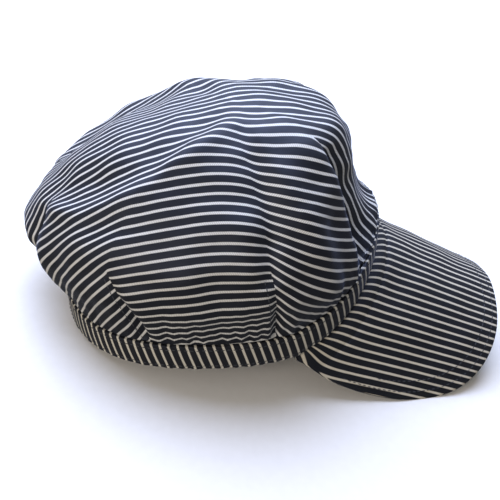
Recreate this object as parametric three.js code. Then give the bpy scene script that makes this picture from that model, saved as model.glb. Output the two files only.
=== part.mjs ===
import * as THREE from 'three';

// Railroad engineer cap in hickory stripe cotton: a soft pleated crown, a narrow band
// and a drooping bill, each a closed body of its own.
// Millimetres, +Z up, the bill points to -Y and the wearer's right side is at -X.
// The shape is worked out in the cap's own frame (forward, left, up from the centre
// of the rim) and then tipped to lie on a table as the empty cap does by itself.

// Rim: the lower edge of the band, measured to the band's outer face
const RIM_FRONT = 96;        // centre of the rim to the forehead
const RIM_BACK = 93.6;       // centre of the rim to the nape
const RIM_SIDE = 87.2;       // centre of the rim to an ear
const SQUARE_FRONT = 2.1;    // 2 would be an ellipse, more is squarer
const SQUARE_BACK = 2.6;
const TEMPLE = 41;           // forward of the centre, where the rim begins to arch up
const TEMPLE_RUN = 6;        // the arch takes up over this length
const ARCH_RISE = 34;        // how far the rim has risen at the forehead

// Band
const BAND_HEIGHT = 16.5;
const BAND_WALL = 2.5;
const BAND_ROUND = 0.6;      // rounding of its folded edges

// Crown
const CROWN_HEIGHT = 121;    // rim to the crest
const CROWN_WALL = 1.5;
const CROWN_TUCK = 6;        // seam allowance behind the band
const CREST_FORWARD = 12;    // the crest lies this far ahead of the rim's centre
const CREST_SHARE = 0.2;     // the sections close on the crest over this last share of them
const SEAM_LIFT = 1.2;       // the cloth turns outward this far above the band
const SEAM_INSET = 0.9;      // and this far in from the band's outer face
const START_OUT = -0.2;      // how the cloth sets off from the band: the corner before the
const START_UP = -0.8;       // first, as shares of the way from the band to the bulge
const FOLD_DEPTH = 8;
const FOLD_WIDTH = 17;
const FOLD_PEAK = 0.6;       // below 1, a fold is deepest below its middle
const NORMAL_STEP = 0.004;   // step for measuring the cloth's slope

// Bill
const BILL_WALL = 3;
const BILL_REACH = 80.6;     // forehead to the tip, seen from above
const BILL_SQUARE = 2.88;
const BILL_HALF = 84.2;      // half width
const BILL_FALL = 46;        // how much lower the tip is than the forehead
const BILL_SAG = 70;         // how much lower the sides are than the centre line
const BILL_TUCK = 5.5;       // seam allowance up behind the band
const TUCK_WALL = 2.2;
const ROOT_STEP = 1.8;       // the bill dips this far as it leaves the band
const ROOT_RUN = 8;          // over about this length
const ROOT_SLOPE = 0.5;      // share of the bill's own slope that is left at its root
const EDGE_BOW = 0.35;       // how round the edge is, as a share of the wall
const CORNER_PULL = 12;      // the higher, the nearer the band the edge turns in to it

// Clearance between sewn pieces, how much of the cloth the table flattens, and the
// steepest the cap may lie, in degrees
const GAP = 0.3;
const REST_FLAT = 1;
const STEEPEST = 30;

// Crown sections: a row for every 30 degrees from the forehead to the nape.
// Reaches are shares of the rim's radius there, rises are shares of the way from the
// band's upper edge to the crest.
const SECTION_STEP = 30;
const SECTIONS = [
  { bulge: [0.900, 0.138], middle: [0.835, 0.365], shoulder: [0.785, 0.680], top: [0.595, 0.918] },
  { bulge: [0.920, 0.221], middle: [0.831, 0.518], shoulder: [0.770, 0.770], top: [0.640, 0.912] },
  { bulge: [1.038, 0.230], middle: [0.982, 0.456], shoulder: [0.861, 0.661], top: [0.520, 0.915] },
  { bulge: [1.044, 0.238], middle: [1.009, 0.436], shoulder: [0.860, 0.650], top: [0.440, 0.935] },
  { bulge: [1.033, 0.238], middle: [1.000, 0.436], shoulder: [0.852, 0.620], top: [0.469, 0.890] },
  { bulge: [1.056, 0.238], middle: [1.030, 0.416], shoulder: [0.895, 0.590], top: [0.555, 0.825] },
  { bulge: [1.225, 0.250], middle: [1.165, 0.420], shoulder: [0.985, 0.595], top: [0.605, 0.830] },
];

// Seams of the eight panels, forehead to nape, the same on both sides.
// low and high are directions in degrees at the band and at the upper end, end is how
// far up the section the dart runs out.
const SEAMS = [
  { name: 'front pleat', low: 31, high: 27, end: 0.8 },
  { name: 'side front dart', low: 70.8, high: 73.5, end: 0.42 },
  { name: 'side back dart', low: 116.6, high: 129, end: 0.4 },
  { name: 'back pleat', low: 162, high: 167, end: 0.55 },
];

// Folds: from and to are shares of the section, depth is a share of FOLD_DEPTH (below
// zero stands out), ahead and behind are shares of FOLD_WIDTH.
const FOLDS = [
  { name: 'front pleat', low: 31, high: 27, from: 0, to: 0.84,
    depth: 1.05, ahead: 0.9, behind: 0.13 },
  { name: 'front pleat lip', low: 37.5, high: 33, from: 0, to: 0.84,
    depth: -0.3, ahead: 0.15, behind: 0.5 },
  { name: 'front side ridge', low: 49, high: 60, from: 0.03, to: 0.92,
    depth: -0.3, ahead: 0.5, behind: 0.5 },
  { name: 'side front dart', low: 70.8, high: 73.5, from: 0, to: 0.42,
    depth: 0.35, ahead: 0.2, behind: 0.2 },
  { name: 'side hollow', low: 75, high: 67, from: 0.34, to: 0.94,
    depth: 0.4, ahead: 0.35, behind: 0.4 },
  { name: 'side back dart', low: 116.6, high: 129, from: 0, to: 0.4,
    depth: 0.4, ahead: 0.2, behind: 0.25 },
  { name: 'back pleat', low: 162, high: 167, from: 0, to: 0.55,
    depth: 0.7, ahead: 0.13, behind: 0.5 },
  { name: 'back pleat lip', low: 157, high: 162, from: 0, to: 0.55,
    depth: -0.25, ahead: 0.5, behind: 0.15 },
];

// How finely the cloth is faceted
const PANEL_SHARES = [0, 0.05, 0.12, 0.24, 0.38, 0.5, 0.62, 0.76, 0.88, 0.95];
const CROWN_LEVELS = [0, 0.02, 0.05, 0.09, 0.14, 0.19, 0.25, 0.31, 0.37, 0.43, 0.49, 0.55,
  0.61, 0.67, 0.73, 0.79, 0.85, 0.9, 0.95];
const BILL_COLUMNS = 48;
const EDGE_SAMPLES = 720;
const BILL_RUNS = [0, 0.04, 0.09, 0.16, 0.26, 0.4, 0.55, 0.7, 0.85, 0.95, 1];

const DEGREE = Math.PI / 180;

const clamp = (value, low, high) => Math.min(high, Math.max(low, value));
const mix = (a, b, share) => a + (b - a) * share;

// Radius of the rim in a direction, 0 at the forehead and a half turn at the nape
function rimRadius(direction) {
  const forward = Math.cos(direction);
  const [length, square] = forward > 0 ? [RIM_FRONT, SQUARE_FRONT] : [RIM_BACK, SQUARE_BACK];
  const sum = Math.abs(forward / length) ** square + Math.abs(Math.sin(direction) / RIM_SIDE) ** square;
  return sum ** (-1 / square);
}

// The bill's surface away from the band
function billUp(forward, left) {
  const fall = BILL_FALL * (forward - RIM_FRONT) / BILL_REACH;
  return ARCH_RISE - ROOT_STEP - fall - BILL_SAG * (left / BILL_HALF) ** 2;
}

// The rim is level round the back and follows the root of the bill in front
function rimUp(direction) {
  const forward = rimRadius(direction) * Math.cos(direction);
  const left = rimRadius(direction) * Math.sin(direction);
  const taken = clamp((forward - TEMPLE) / TEMPLE_RUN, 0, 1);
  return taken * Math.max(billUp(forward, left) + ROOT_STEP, 0);
}

// A point beside the rim: out from its outer face and up from its lower edge
function besideRim(direction, out, up) {
  const radius = rimRadius(direction) + out;
  const rise = rimUp(direction) + up;
  return new THREE.Vector3(radius * Math.cos(direction), radius * Math.sin(direction), rise);
}

// A smooth curve through b and c, with a and d as its neighbours
function spline(a, b, c, d, t) {
  const square = 2 * a - 5 * b + 4 * c - d;
  const cube = 3 * b - a - 3 * c + d;
  return 0.5 * (2 * b + (c - a) * t + square * t * t + cube * t ** 3);
}

// A share of the section table in any direction, mirrored left to right
function sectionShare(level, column, direction) {
  const around = 2 * (SECTIONS.length - 1);
  const place = (((direction / DEGREE) % 360) + 360) % 360 / SECTION_STEP;
  const first = Math.floor(place);
  const at = (index) => {
    const turn = ((index % around) + around) % around;
    return SECTIONS[Math.min(turn, around - turn)][level][column];
  };
  return spline(at(first - 1), at(first), at(first + 1), at(first + 2), place - first);
}

// The section's corner points in one direction, each as reach and height
function sectionCorner(level, direction) {
  const seamUp = rimUp(direction) + BAND_HEIGHT;
  return [
    rimRadius(direction) * sectionShare(level, 0, direction),
    mix(seamUp, CROWN_HEIGHT, sectionShare(level, 1, direction)),
  ];
}

// The crown's outer face before folding; level runs from 0 at the band to 1 at the crest
function plainCrown(direction, level) {
  const start = [
    rimRadius(direction) - SEAM_INSET,
    rimUp(direction) + BAND_HEIGHT + SEAM_LIFT,
  ];
  const bulge = sectionCorner('bulge', direction);
  const before = [mix(start[0], bulge[0], START_OUT), mix(start[1], bulge[1], START_UP)];
  const across = sectionCorner('top', direction + Math.PI);
  const corners = [
    before, start, bulge, sectionCorner('middle', direction), sectionCorner('shoulder', direction),
    sectionCorner('top', direction),
    [CREST_FORWARD * Math.cos(direction), CROWN_HEIGHT],
    [-across[0], across[1]],
  ];
  const spans = corners.length - 3;
  const place = clamp(level, 0, 1) * spans;
  const first = Math.min(Math.floor(place), spans - 1);
  const at = (axis) => spline(
    corners[first][axis], corners[first + 1][axis],
    corners[first + 2][axis], corners[first + 3][axis], place - first,
  );
  const reach = at(0);
  const closing = clamp((level - 1) / CREST_SHARE + 1, 0, 1);
  const sideways = -CREST_FORWARD * Math.sin(direction) * closing ** 2;
  return new THREE.Vector3(
    reach * Math.cos(direction) - sideways * Math.sin(direction),
    reach * Math.sin(direction) + sideways * Math.cos(direction),
    at(1),
  );
}

// How far the folds push the cloth in at a place on one side of the cap
function foldDepth(direction, level, radius) {
  const turned = Math.atan2(Math.abs(Math.sin(direction)), Math.cos(direction)) / DEGREE;
  let depth = 0;
  for (const fold of FOLDS) {
    const along = (level - fold.from) / (fold.to - fold.from);
    if (along <= 0 || along >= 1) {
      continue;
    }
    const offset = (turned - mix(fold.low, fold.high, along)) * DEGREE * radius;
    const width = FOLD_WIDTH * (offset < 0 ? fold.ahead : fold.behind);
    const swell = Math.sin(Math.PI * along ** FOLD_PEAK);
    depth += FOLD_DEPTH * fold.depth * swell * Math.exp(-((offset / width) ** 2));
  }
  return depth;
}

function plainNormal(direction, level) {
  const low = plainCrown(direction, Math.max(level - NORMAL_STEP, 0));
  const up = plainCrown(direction, level + NORMAL_STEP).sub(low);
  const turn = plainCrown(direction + NORMAL_STEP, level).sub(plainCrown(direction - NORMAL_STEP, level));
  return turn.cross(up).normalize();
}

function crownPoint(direction, level) {
  const plain = plainCrown(direction, level);
  const depth = foldDepth(direction, level, Math.hypot(plain.x, plain.y));
  return plain.addScaledVector(plainNormal(direction, level), -depth);
}

// The directions of all seams around the cap at one level, counted from the front pleat
// on the left round by the nape
function seamDirections(level) {
  const left = SEAMS.map((seam) => mix(seam.low, seam.high, clamp(level / seam.end, 0, 1)) * DEGREE);
  const right = left.map((turn) => 2 * Math.PI - turn).reverse();
  return [...left, ...right];
}

// The direction of every column of facets at one level
function columnDirections(level) {
  const seams = seamDirections(level);
  const directions = [];
  seams.forEach((start, index) => {
    const end = index + 1 < seams.length ? seams[index + 1] : seams[0] + 2 * Math.PI;
    PANEL_SHARES.forEach((share) => directions.push(mix(start, end, share)));
  });
  return directions;
}

// Meshes are collected as points and triangles
function makeMesh(name, points, triangles, look) {
  const geometry = new THREE.BufferGeometry();
  const places = points.flatMap((point) => point.toArray());
  geometry.setAttribute('position', new THREE.Float32BufferAttribute(places, 3));
  geometry.setIndex(triangles);
  geometry.computeVertexNormals();
  const mesh = new THREE.Mesh(geometry, new THREE.MeshStandardMaterial(look));
  mesh.name = name;
  return mesh;
}

// Joins neighbouring rows of the same length that run around the cap
function joinRows(triangles, first, second, flip) {
  first.forEach((a, index) => {
    const next = (index + 1) % first.length;
    const b = first[next];
    const c = second[next];
    const d = second[index];
    triangles.push(...(flip ? [a, c, b, a, d, c] : [a, b, c, a, c, d]));
  });
}

// Normals of a grid of rows around the cap, from its neighbours
function gridNormal(rows, level, column) {
  const row = rows[level];
  const count = row.length;
  const turn = row[(column + 1) % count].clone().sub(row[(column - 1 + count) % count]);
  const up = rows[Math.min(level + 1, rows.length - 1)][column].clone()
    .sub(rows[Math.max(level - 1, 0)][column]);
  return turn.cross(up).normalize();
}

function buildCrown() {
  const lowDirections = columnDirections(0);
  const out = -BAND_WALL - GAP;
  const outer = [
    lowDirections.map((turn) => besideRim(turn, out, BAND_HEIGHT - CROWN_TUCK)),
    lowDirections.map((turn) => besideRim(turn, out, BAND_HEIGHT - CROWN_TUCK / 3)),
    lowDirections.map((turn) => besideRim(turn, out, BAND_HEIGHT)),
  ];
  CROWN_LEVELS.forEach((level) => {
    outer.push(columnDirections(level).map((turn) => crownPoint(turn, level)));
  });
  const inner = outer.map((row, level) => row.map((point, column) => (
    point.clone().addScaledVector(gridNormal(outer, level, column), -CROWN_WALL)
  )));
  // The lower edge is cut square to the band
  inner[0].forEach((point, column) => {
    point.z = outer[0][column].z;
  });
  const crest = plainCrown(0, 1);
  const points = [...outer.flat(), ...inner.flat(), crest, crest.clone().setZ(crest.z - CROWN_WALL)];
  const count = lowDirections.length;
  const rowAt = (row) => lowDirections.map((turn, column) => row * count + column);
  const triangles = [];
  for (let row = 0; row + 1 < outer.length; row += 1) {
    joinRows(triangles, rowAt(row), rowAt(row + 1), false);
    joinRows(triangles, rowAt(outer.length + row), rowAt(outer.length + row + 1), true);
  }
  joinRows(triangles, rowAt(0), rowAt(outer.length), true);
  const lastOuter = rowAt(outer.length - 1);
  const lastInner = rowAt(2 * outer.length - 1);
  const outerCrest = points.length - 2;
  const innerCrest = points.length - 1;
  for (let column = 0; column < count; column += 1) {
    const next = (column + 1) % count;
    triangles.push(lastOuter[column], lastOuter[next], outerCrest);
    triangles.push(lastInner[next], lastInner[column], innerCrest);
  }
  return makeMesh('crown', points, triangles, { color: 0x566072, roughness: 0.9, metalness: 0 });
}

function buildBand() {
  const directions = columnDirections(0);
  const low = BAND_ROUND;
  const high = BAND_HEIGHT - BAND_ROUND;
  const ring = [
    [0, low], [0, high / 2], [0, high], [-BAND_ROUND, BAND_HEIGHT],
    [BAND_ROUND - BAND_WALL, BAND_HEIGHT], [-BAND_WALL, high], [-BAND_WALL, high / 2],
    [-BAND_WALL, low], [BAND_ROUND - BAND_WALL, 0], [-BAND_ROUND, 0],
  ];
  const points = ring.flatMap(([out, up]) => directions.map((turn) => besideRim(turn, out, up)));
  const count = directions.length;
  const rowAt = (row) => directions.map((turn, column) => (row % ring.length) * count + column);
  const triangles = [];
  ring.forEach((corner, row) => joinRows(triangles, rowAt(row), rowAt(row + 1), false));
  return makeMesh('headband', points, triangles, { color: 0x5c5f66, roughness: 0.92, metalness: 0 });
}

function billNormal(left) {
  return new THREE.Vector3(BILL_FALL / BILL_REACH, 2 * BILL_SAG * left / BILL_HALF ** 2, 1).normalize();
}

function templeSide() {
  return RIM_SIDE * (1 - (TEMPLE / RIM_FRONT) ** SQUARE_FRONT) ** (1 / SQUARE_FRONT);
}

// The bill's outer edge seen from above; share runs from -1 to 1, evenly along the edge
function billEdge() {
  const length = RIM_FRONT + BILL_REACH - TEMPLE;
  const places = Array.from({ length: EDGE_SAMPLES + 1 }, (unused, index) => {
    const turn = mix(-Math.PI / 2, Math.PI / 2, index / EDGE_SAMPLES);
    const power = 2 / BILL_SQUARE;
    const reach = Math.abs(Math.cos(turn)) ** power;
    const half = mix(BILL_HALF, templeSide(), (1 - reach) ** CORNER_PULL);
    return [TEMPLE + length * reach, half * Math.sign(turn) * Math.abs(Math.sin(turn)) ** power];
  });
  const lengths = [0];
  for (let index = 1; index <= EDGE_SAMPLES; index += 1) {
    const [a, b] = [places[index - 1], places[index]];
    lengths.push(lengths[index - 1] + Math.hypot(b[0] - a[0], b[1] - a[1]));
  }
  return (share) => {
    const target = (share + 1) / 2 * lengths[EDGE_SAMPLES];
    let index = 1;
    while (index < EDGE_SAMPLES && lengths[index] < target) {
      index += 1;
    }
    const part = (target - lengths[index - 1]) / (lengths[index] - lengths[index - 1]);
    return [0, 1].map((axis) => mix(places[index - 1][axis], places[index][axis], part));
  };
}

// One section of the bill from the tuck behind the band to the outer edge and back
function billSection(share, edge) {
  const direction = share * Math.atan2(templeSide(), TEMPLE);
  const root = besideRim(direction, -BAND_WALL - GAP, -GAP);
  const [edgeForward, edgeLeft] = edge(share);
  const face = BILL_RUNS.map((run) => {
    const forward = mix(root.x, edgeForward, run);
    const left = mix(root.y, edgeLeft, run);
    const away = Math.hypot(forward - root.x, left - root.y);
    const fade = Math.exp(-((away / ROOT_RUN) ** 2));
    const plain = billUp(forward, left);
    const atRoot = root.z + (plain - billUp(root.x, root.y)) * ROOT_SLOPE;
    return new THREE.Vector3(forward, left, mix(plain, atRoot, fade));
  });
  const back = face.map((point) => point.clone().addScaledVector(billNormal(point.y), -BILL_WALL));
  const rounded = face[face.length - 1].clone().lerp(back[back.length - 1], 0.5);
  const inner = face[face.length - 2].clone().lerp(back[back.length - 2], 0.5);
  const outward = rounded.clone().sub(inner).normalize();
  rounded.addScaledVector(outward, BILL_WALL * EDGE_BOW);
  return [
    besideRim(direction, -BAND_WALL - GAP, BILL_TUCK),
    ...face,
    rounded,
    ...back.reverse(),
    besideRim(direction, -BAND_WALL - GAP - TUCK_WALL, BILL_TUCK),
  ];
}

function buildBill() {
  const edge = billEdge();
  const sections = Array.from({ length: BILL_COLUMNS + 1 }, (unused, index) => (
    billSection(mix(-1, 1, index / BILL_COLUMNS), edge)
  ));
  const points = sections.flat();
  const ring = sections[0].length;
  const ringAt = (index) => Array.from({ length: ring }, (unused, corner) => index * ring + corner);
  const triangles = [];
  for (let index = 0; index < BILL_COLUMNS; index += 1) {
    joinRows(triangles, ringAt(index), ringAt(index + 1), false);
  }
  // Both ends are closed across the section, which narrows to its tuck
  for (let corner = 0; corner + 1 < ring - 1 - corner; corner += 1) {
    const far = ring - 1 - corner;
    [[0, true], [BILL_COLUMNS, false]].forEach(([index, flip]) => {
      const [a, b, c, d] = [corner, corner + 1, far - 1, far].map((step) => index * ring + step);
      const faces = b === c ? [[a, b, d]] : [[a, b, c], [a, c, d]];
      faces.forEach(([p, q, r]) => triangles.push(...(flip ? [p, r, q] : [p, q, r])));
    });
  }
  return makeMesh('bill', points, triangles, { color: 0x565a60, roughness: 0.9, metalness: 0 });
}

// Tips the cap until the band's back edge and the bill's two side edges touch the table
function layDown(meshes) {
  const frames = meshes.map((mesh) => mesh.geometry.getAttribute('position'));
  const tipped = (pitch, x, z) => z * Math.cos(pitch) + x * Math.sin(pitch);
  const lowest = (pitch, keep) => {
    let low = Infinity;
    frames.forEach((frame) => {
      for (let index = 0; index < frame.count; index += 1) {
        if (keep(frame.getX(index))) {
          low = Math.min(low, tipped(pitch, frame.getX(index), frame.getZ(index)));
        }
      }
    });
    return low;
  };
  let [flat, steep] = [0, STEEPEST * DEGREE];
  while (steep - flat > Number.EPSILON * STEEPEST) {
    const pitch = (flat + steep) / 2;
    if (lowest(pitch, (x) => x > TEMPLE) < lowest(pitch, (x) => x < 0)) {
      flat = pitch;
    } else {
      steep = pitch;
    }
  }
  const pitch = flat;
  const floor = lowest(pitch, () => true) + REST_FLAT;
  const forward = (x, z) => x * Math.cos(pitch) - z * Math.sin(pitch);
  let [back, front] = [Infinity, -Infinity];
  frames.forEach((frame) => {
    for (let index = 0; index < frame.count; index += 1) {
      const place = forward(frame.getX(index), frame.getZ(index));
      back = Math.min(back, place);
      front = Math.max(front, place);
    }
  });
  const centre = (back + front) / 2;
  meshes.forEach((mesh, order) => {
    const frame = frames[order];
    for (let index = 0; index < frame.count; index += 1) {
      const [x, y, z] = [frame.getX(index), frame.getY(index), frame.getZ(index)];
      frame.setXYZ(index, y, centre - forward(x, z), Math.max(tipped(pitch, x, z) - floor, 0));
    }
    mesh.geometry.computeVertexNormals();
  });
  return { pitch, floor, centre };
}

const cap = new THREE.Group();
cap.name = 'engineer_cap';
const pieces = [buildCrown(), buildBand(), buildBill()];
cap.userData = layDown(pieces);
cap.add(...pieces);

export default cap;
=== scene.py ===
"""Railroad engineer cap in hickory stripe cotton, lying at rest on a pale studio floor."""

import math

import bpy
import numpy as np
from mathutils import Matrix, Vector


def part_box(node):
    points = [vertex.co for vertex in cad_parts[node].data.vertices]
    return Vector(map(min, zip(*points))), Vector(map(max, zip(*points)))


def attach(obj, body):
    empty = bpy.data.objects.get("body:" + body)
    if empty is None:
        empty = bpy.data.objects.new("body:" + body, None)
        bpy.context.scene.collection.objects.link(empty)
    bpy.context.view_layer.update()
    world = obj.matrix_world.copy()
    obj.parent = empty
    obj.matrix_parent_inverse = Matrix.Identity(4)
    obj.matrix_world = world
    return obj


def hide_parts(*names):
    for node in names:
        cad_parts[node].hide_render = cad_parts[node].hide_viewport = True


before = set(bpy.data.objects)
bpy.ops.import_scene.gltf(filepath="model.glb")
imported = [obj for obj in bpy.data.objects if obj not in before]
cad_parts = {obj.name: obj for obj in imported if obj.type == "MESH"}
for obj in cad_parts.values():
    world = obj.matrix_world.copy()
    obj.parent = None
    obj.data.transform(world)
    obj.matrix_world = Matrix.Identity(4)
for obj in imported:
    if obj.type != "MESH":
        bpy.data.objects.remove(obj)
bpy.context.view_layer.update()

MM = 0.001

# Rim: the lower edge of the band's outer face, in millimetres in the cap's own frame
# (forward, left, up from the middle of the rim)
RIM_FRONT = 96
RIM_BACK = 93.6
RIM_SIDE = 87.2
SQUARE_FRONT = 2.1  # 2 is an ellipse, more is squarer
SQUARE_BACK = 2.6
TEMPLE = 41  # forward of the middle, where the rim begins to arch up
TEMPLE_RUN = 6  # the arch takes up over this length
ARCH_RISE = 34  # how far the rim has risen at the forehead

# Band
BAND_HEIGHT = 16.5
BAND_WALL = 2.5
BAND_ROUND = 0.6  # rounding of its folded edges
BAND_SWELL = 0.35  # how far its middle stands out
BAND_FACE_POINTS = 9
BAND_TURN_POINTS = 5
BAND_RIPPLE = 0.25  # how uneven its edges are
RIPPLE_REACH = 3  # how far the ripple runs in from an edge
RIPPLE_INWARD = 1  # how far behind the outer face it dies out

# Crown
CROWN_HEIGHT = 121  # rim to the crest
CROWN_WALL = 1.5
CROWN_TUCK = 6  # seam allowance behind the band
TUCK_ROWS = (CROWN_TUCK, 2, 0)  # rows of the seam allowance, below the band's upper edge
CREST_FORWARD = 12  # the crest lies this far ahead of the rim's middle
CREST_SHARE = 0.2  # the sections close on the crest over this last share of them
SEAM_LIFT = 1.2  # the cloth turns outward this far above the band
SEAM_INSET = 0.9  # and this far in from its outer face
START_OUT = -0.2  # how the cloth sets off from the band
START_UP = -0.8
FOLD_DEPTH = 8
FOLD_WIDTH = 17
FOLD_PEAK = 0.6  # below 1, a fold is deepest below its middle
NORMAL_STEP = 0.004  # step for measuring the cloth's slope

# Finer relief that only the visible cloth has: grooves along the seams, lips beside the
# pleats, gathers at the band, then wrinkles and creases
GROOVE_WIDTH = 2.1
GROOVE_FADE = 1.5
LIP_WIDTH = 4
LIP_RISE = 0.35
LIP_FADE = 1.6
LIP_START = 0.06
PUCKER_DEPTH = 0.8
PUCKER_REACH = 0.1
PUCKER_START = 0.02
PUCKER_WAVES = (29, 87)
PUCKER_SEED = 41
WRINKLE_DEPTH = 0.55
WRINKLE_LENGTH = 30
WRINKLE_SEED = 5
CREASE_DEPTH = 0.16
CREASE_LENGTH = 11
CREASE_SEED = 6
LOOSE_START = 0.1  # share of the section over which wrinkles set in, at both its ends
NOISE_WAVES = 14
NOISE_SPREAD = (0.7, 1.5)  # how the waves' lengths vary

# Bill
BILL_WALL = 3
BILL_REACH = 80.6  # forehead to the tip, seen from above
BILL_SQUARE = 2.88
BILL_HALF = 84.2  # half width
BILL_FALL = 46  # how much lower the tip is than the forehead
BILL_SAG = 70  # how much lower the sides are than the centre line
BILL_TUCK = 5.5  # seam allowance up behind the band
TUCK_WALL = 2.2
ROOT_STEP = 1.8  # the bill dips this far as it leaves the band
ROOT_RUN = 8  # over about this length
ROOT_SLOPE = 0.5  # share of the bill's own slope that is left at its root
EDGE_BOW = 0.35  # how round the edge is, as a share of the wall
EDGE_BOW_POINTS = 7
CORNER_PULL = 12  # the higher, the nearer the band the edge turns in to it
ROOT_STRIP = 10  # the stripes bend within this strip, which ends in a faint crease
ROOT_STRIP_ROWS = 12
STRIP_SHARE = 0.5  # the most of the bill's reach that the strip takes
ROOT_CREASE = 0.7
ROOT_BEND = 1.6  # how gently they bend
ROOT_TURN = 0.8  # how steeply they turn up to the band
TURN_REACH = 26  # where the bill is narrower than this, they turn less
BILL_FAN = (0.94, 1.06)  # how close the stripes lie at the temples and at the tip
BILL_SKEW = math.radians(-3.5)
BILL_UNEVEN = 0.25
BILL_UNEVEN_LENGTH = 28
BILL_UNEVEN_START = 0.2
BILL_SEED = 8

# Clearance between sewn pieces, how much of the cloth the floor flattens, the steepest
# the cap may lie in degrees, and how finely the lean and the bill's edge are measured
GAP = 0.3
REST_FLAT = 1
STEEPEST = 30
LEAN_STEPS = 6000
EDGE_SAMPLES = 720

# Stripe of the cloth: from one light line to the next, the light share of that, how
# softly the line ends, and how far the yarns wander
STRIPE_PITCH = 5.0
STRIPE_LIGHT = 0.275
STRIPE_SOFT = 0.035
STRIPE_WANDER = 0.35
BAND_SLANT = math.radians(16)

# Weave, on the cloth in millimetres: how the yarns' streaks are drawn out along the
# stripe, and the twill's turn and scale
YARN_SCALE = (2.2, 0.12, 1)
TWILL_TURN = math.radians(63)
TWILL_SCALE = 0.36

# Crown sections, a row for every 30 degrees from the forehead to the nape: reaches are
# shares of the rim's radius there, rises are shares of the way from the band to the crest
SECTION_STEP = 30
SECTIONS = [
    {"bulge": (0.900, 0.138), "middle": (0.835, 0.365), "shoulder": (0.785, 0.680), "top": (0.595, 0.918)},
    {"bulge": (0.920, 0.221), "middle": (0.831, 0.518), "shoulder": (0.770, 0.770), "top": (0.640, 0.912)},
    {"bulge": (1.038, 0.230), "middle": (0.982, 0.456), "shoulder": (0.861, 0.661), "top": (0.520, 0.915)},
    {"bulge": (1.044, 0.238), "middle": (1.009, 0.436), "shoulder": (0.860, 0.650), "top": (0.440, 0.935)},
    {"bulge": (1.033, 0.238), "middle": (1.000, 0.436), "shoulder": (0.852, 0.620), "top": (0.469, 0.890)},
    {"bulge": (1.056, 0.238), "middle": (1.030, 0.416), "shoulder": (0.895, 0.590), "top": (0.555, 0.825)},
    {"bulge": (1.225, 0.250), "middle": (1.165, 0.420), "shoulder": (0.985, 0.595), "top": (0.605, 0.830)},
]

# Seams of the panels on one side, forehead to nape: direction in degrees at the band and
# where the dart runs out, the share of the section where it does, how deep it is pulled
# in, and how far the cloth behind it laps over to the front
SEAMS = [
    {"name": "front pleat", "low": 31, "high": 32.5, "end": 0.8, "groove": 8, "lip": 3},
    {"name": "side front dart", "low": 70.8, "high": 73.5, "end": 0.42, "groove": 1.1, "lip": 0},
    {"name": "side back dart", "low": 116.6, "high": 129, "end": 0.4, "groove": 1.1, "lip": 0},
    {"name": "back pleat", "low": 162, "high": 167, "end": 0.55, "groove": 4, "lip": -2.5},
]

# Folds: depth is a share of FOLD_DEPTH, below zero stands out; ahead and behind are
# shares of FOLD_WIDTH
FOLDS = [
    {"name": "front pleat", "low": 31, "high": 32.5, "from": 0, "to": 0.84,
     "depth": 1.05, "ahead": 0.9, "behind": 0.13},
    {"name": "front pleat lip", "low": 37.5, "high": 38.5, "from": 0, "to": 0.84,
     "depth": -0.3, "ahead": 0.15, "behind": 0.5},
    {"name": "front side ridge", "low": 49, "high": 60, "from": 0.03, "to": 0.92,
     "depth": -0.5, "ahead": 0.5, "behind": 0.5},
    {"name": "side front dart", "low": 70.8, "high": 73.5, "from": 0, "to": 0.42,
     "depth": 0.35, "ahead": 0.2, "behind": 0.2},
    {"name": "side hollow", "low": 75, "high": 67, "from": 0.34, "to": 0.9,
     "depth": 0.5, "ahead": 0.35, "behind": 0.4},
    {"name": "side back dart", "low": 116.6, "high": 129, "from": 0, "to": 0.4,
     "depth": 0.4, "ahead": 0.2, "behind": 0.25},
    {"name": "back pleat", "low": 162, "high": 167, "from": 0, "to": 0.55,
     "depth": 0.7, "ahead": 0.13, "behind": 0.5},
    {"name": "back pleat lip", "low": 157, "high": 162, "from": 0, "to": 0.55,
     "depth": -0.25, "ahead": 0.5, "behind": 0.15},
]

# The ridge where the side of the crown turns over into its top: its height in some
# directions, as a share of the section
RIDGE_LINE = [
    {"direction": 14, "level": 0.77},
    {"direction": 30, "level": 0.88},
    {"direction": 65, "level": 0.91},
    {"direction": 97, "level": 0.825},
    {"direction": 115, "level": 0.78},
    {"direction": 133, "level": 0.7},
    {"direction": 153, "level": 0.575},
    {"direction": 170, "level": 0.5},
]
RIDGE_RISE = 2.6
RIDGE_WIDTH = 0.045
RIDGE_SAG = 3.2  # how far the top sags inside the ridge
RIDGE_SAG_ABOVE = 0.13
RIDGE_SAG_WIDTH = 0.085
RIDGE_FADE = 24  # degrees over which the ridge dies out at its two ends
RIDGE_CLEAR = 0.2  # share of the section below the crest that stays smooth

# How the cloth lies on the panels of one side: degrees between its stripes and the line
# down from the crest, at a panel's edge nearer the forehead, in its middle and at its
# other edge, for three heights. At the crest the stripes run straight from front to back.
# The flat cloth is then settled to this in at most so many rounds, or to within the error.
LAY_LEVELS = {"low": 0.2, "middle": 0.55, "high": 0.8}
LAYS = [
    {"panel": "front side", "low": (62, 60, 34), "middle": (57, 63, 36), "high": (36, 55, 45)},
    {"panel": "side", "low": (93, 98, 104), "middle": (64, 98, 118), "high": (55, 97, 124)},
    {"panel": "back side", "low": (136, 142, 148), "middle": (131, 141, 150), "high": (124, 141, 158)},
    {"panel": "back", "low": (170, 180, 190), "middle": (165, 180, 195), "high": (160, 180, 200)},
]
FRONT_LAY = {"panel": "front", "low": (-3, 0, 3), "middle": (-5, 0, 5), "high": (-20, 0, 20)}
SETTLE_ROUNDS = 900
SETTLE_ERROR = 1e-7

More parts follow.
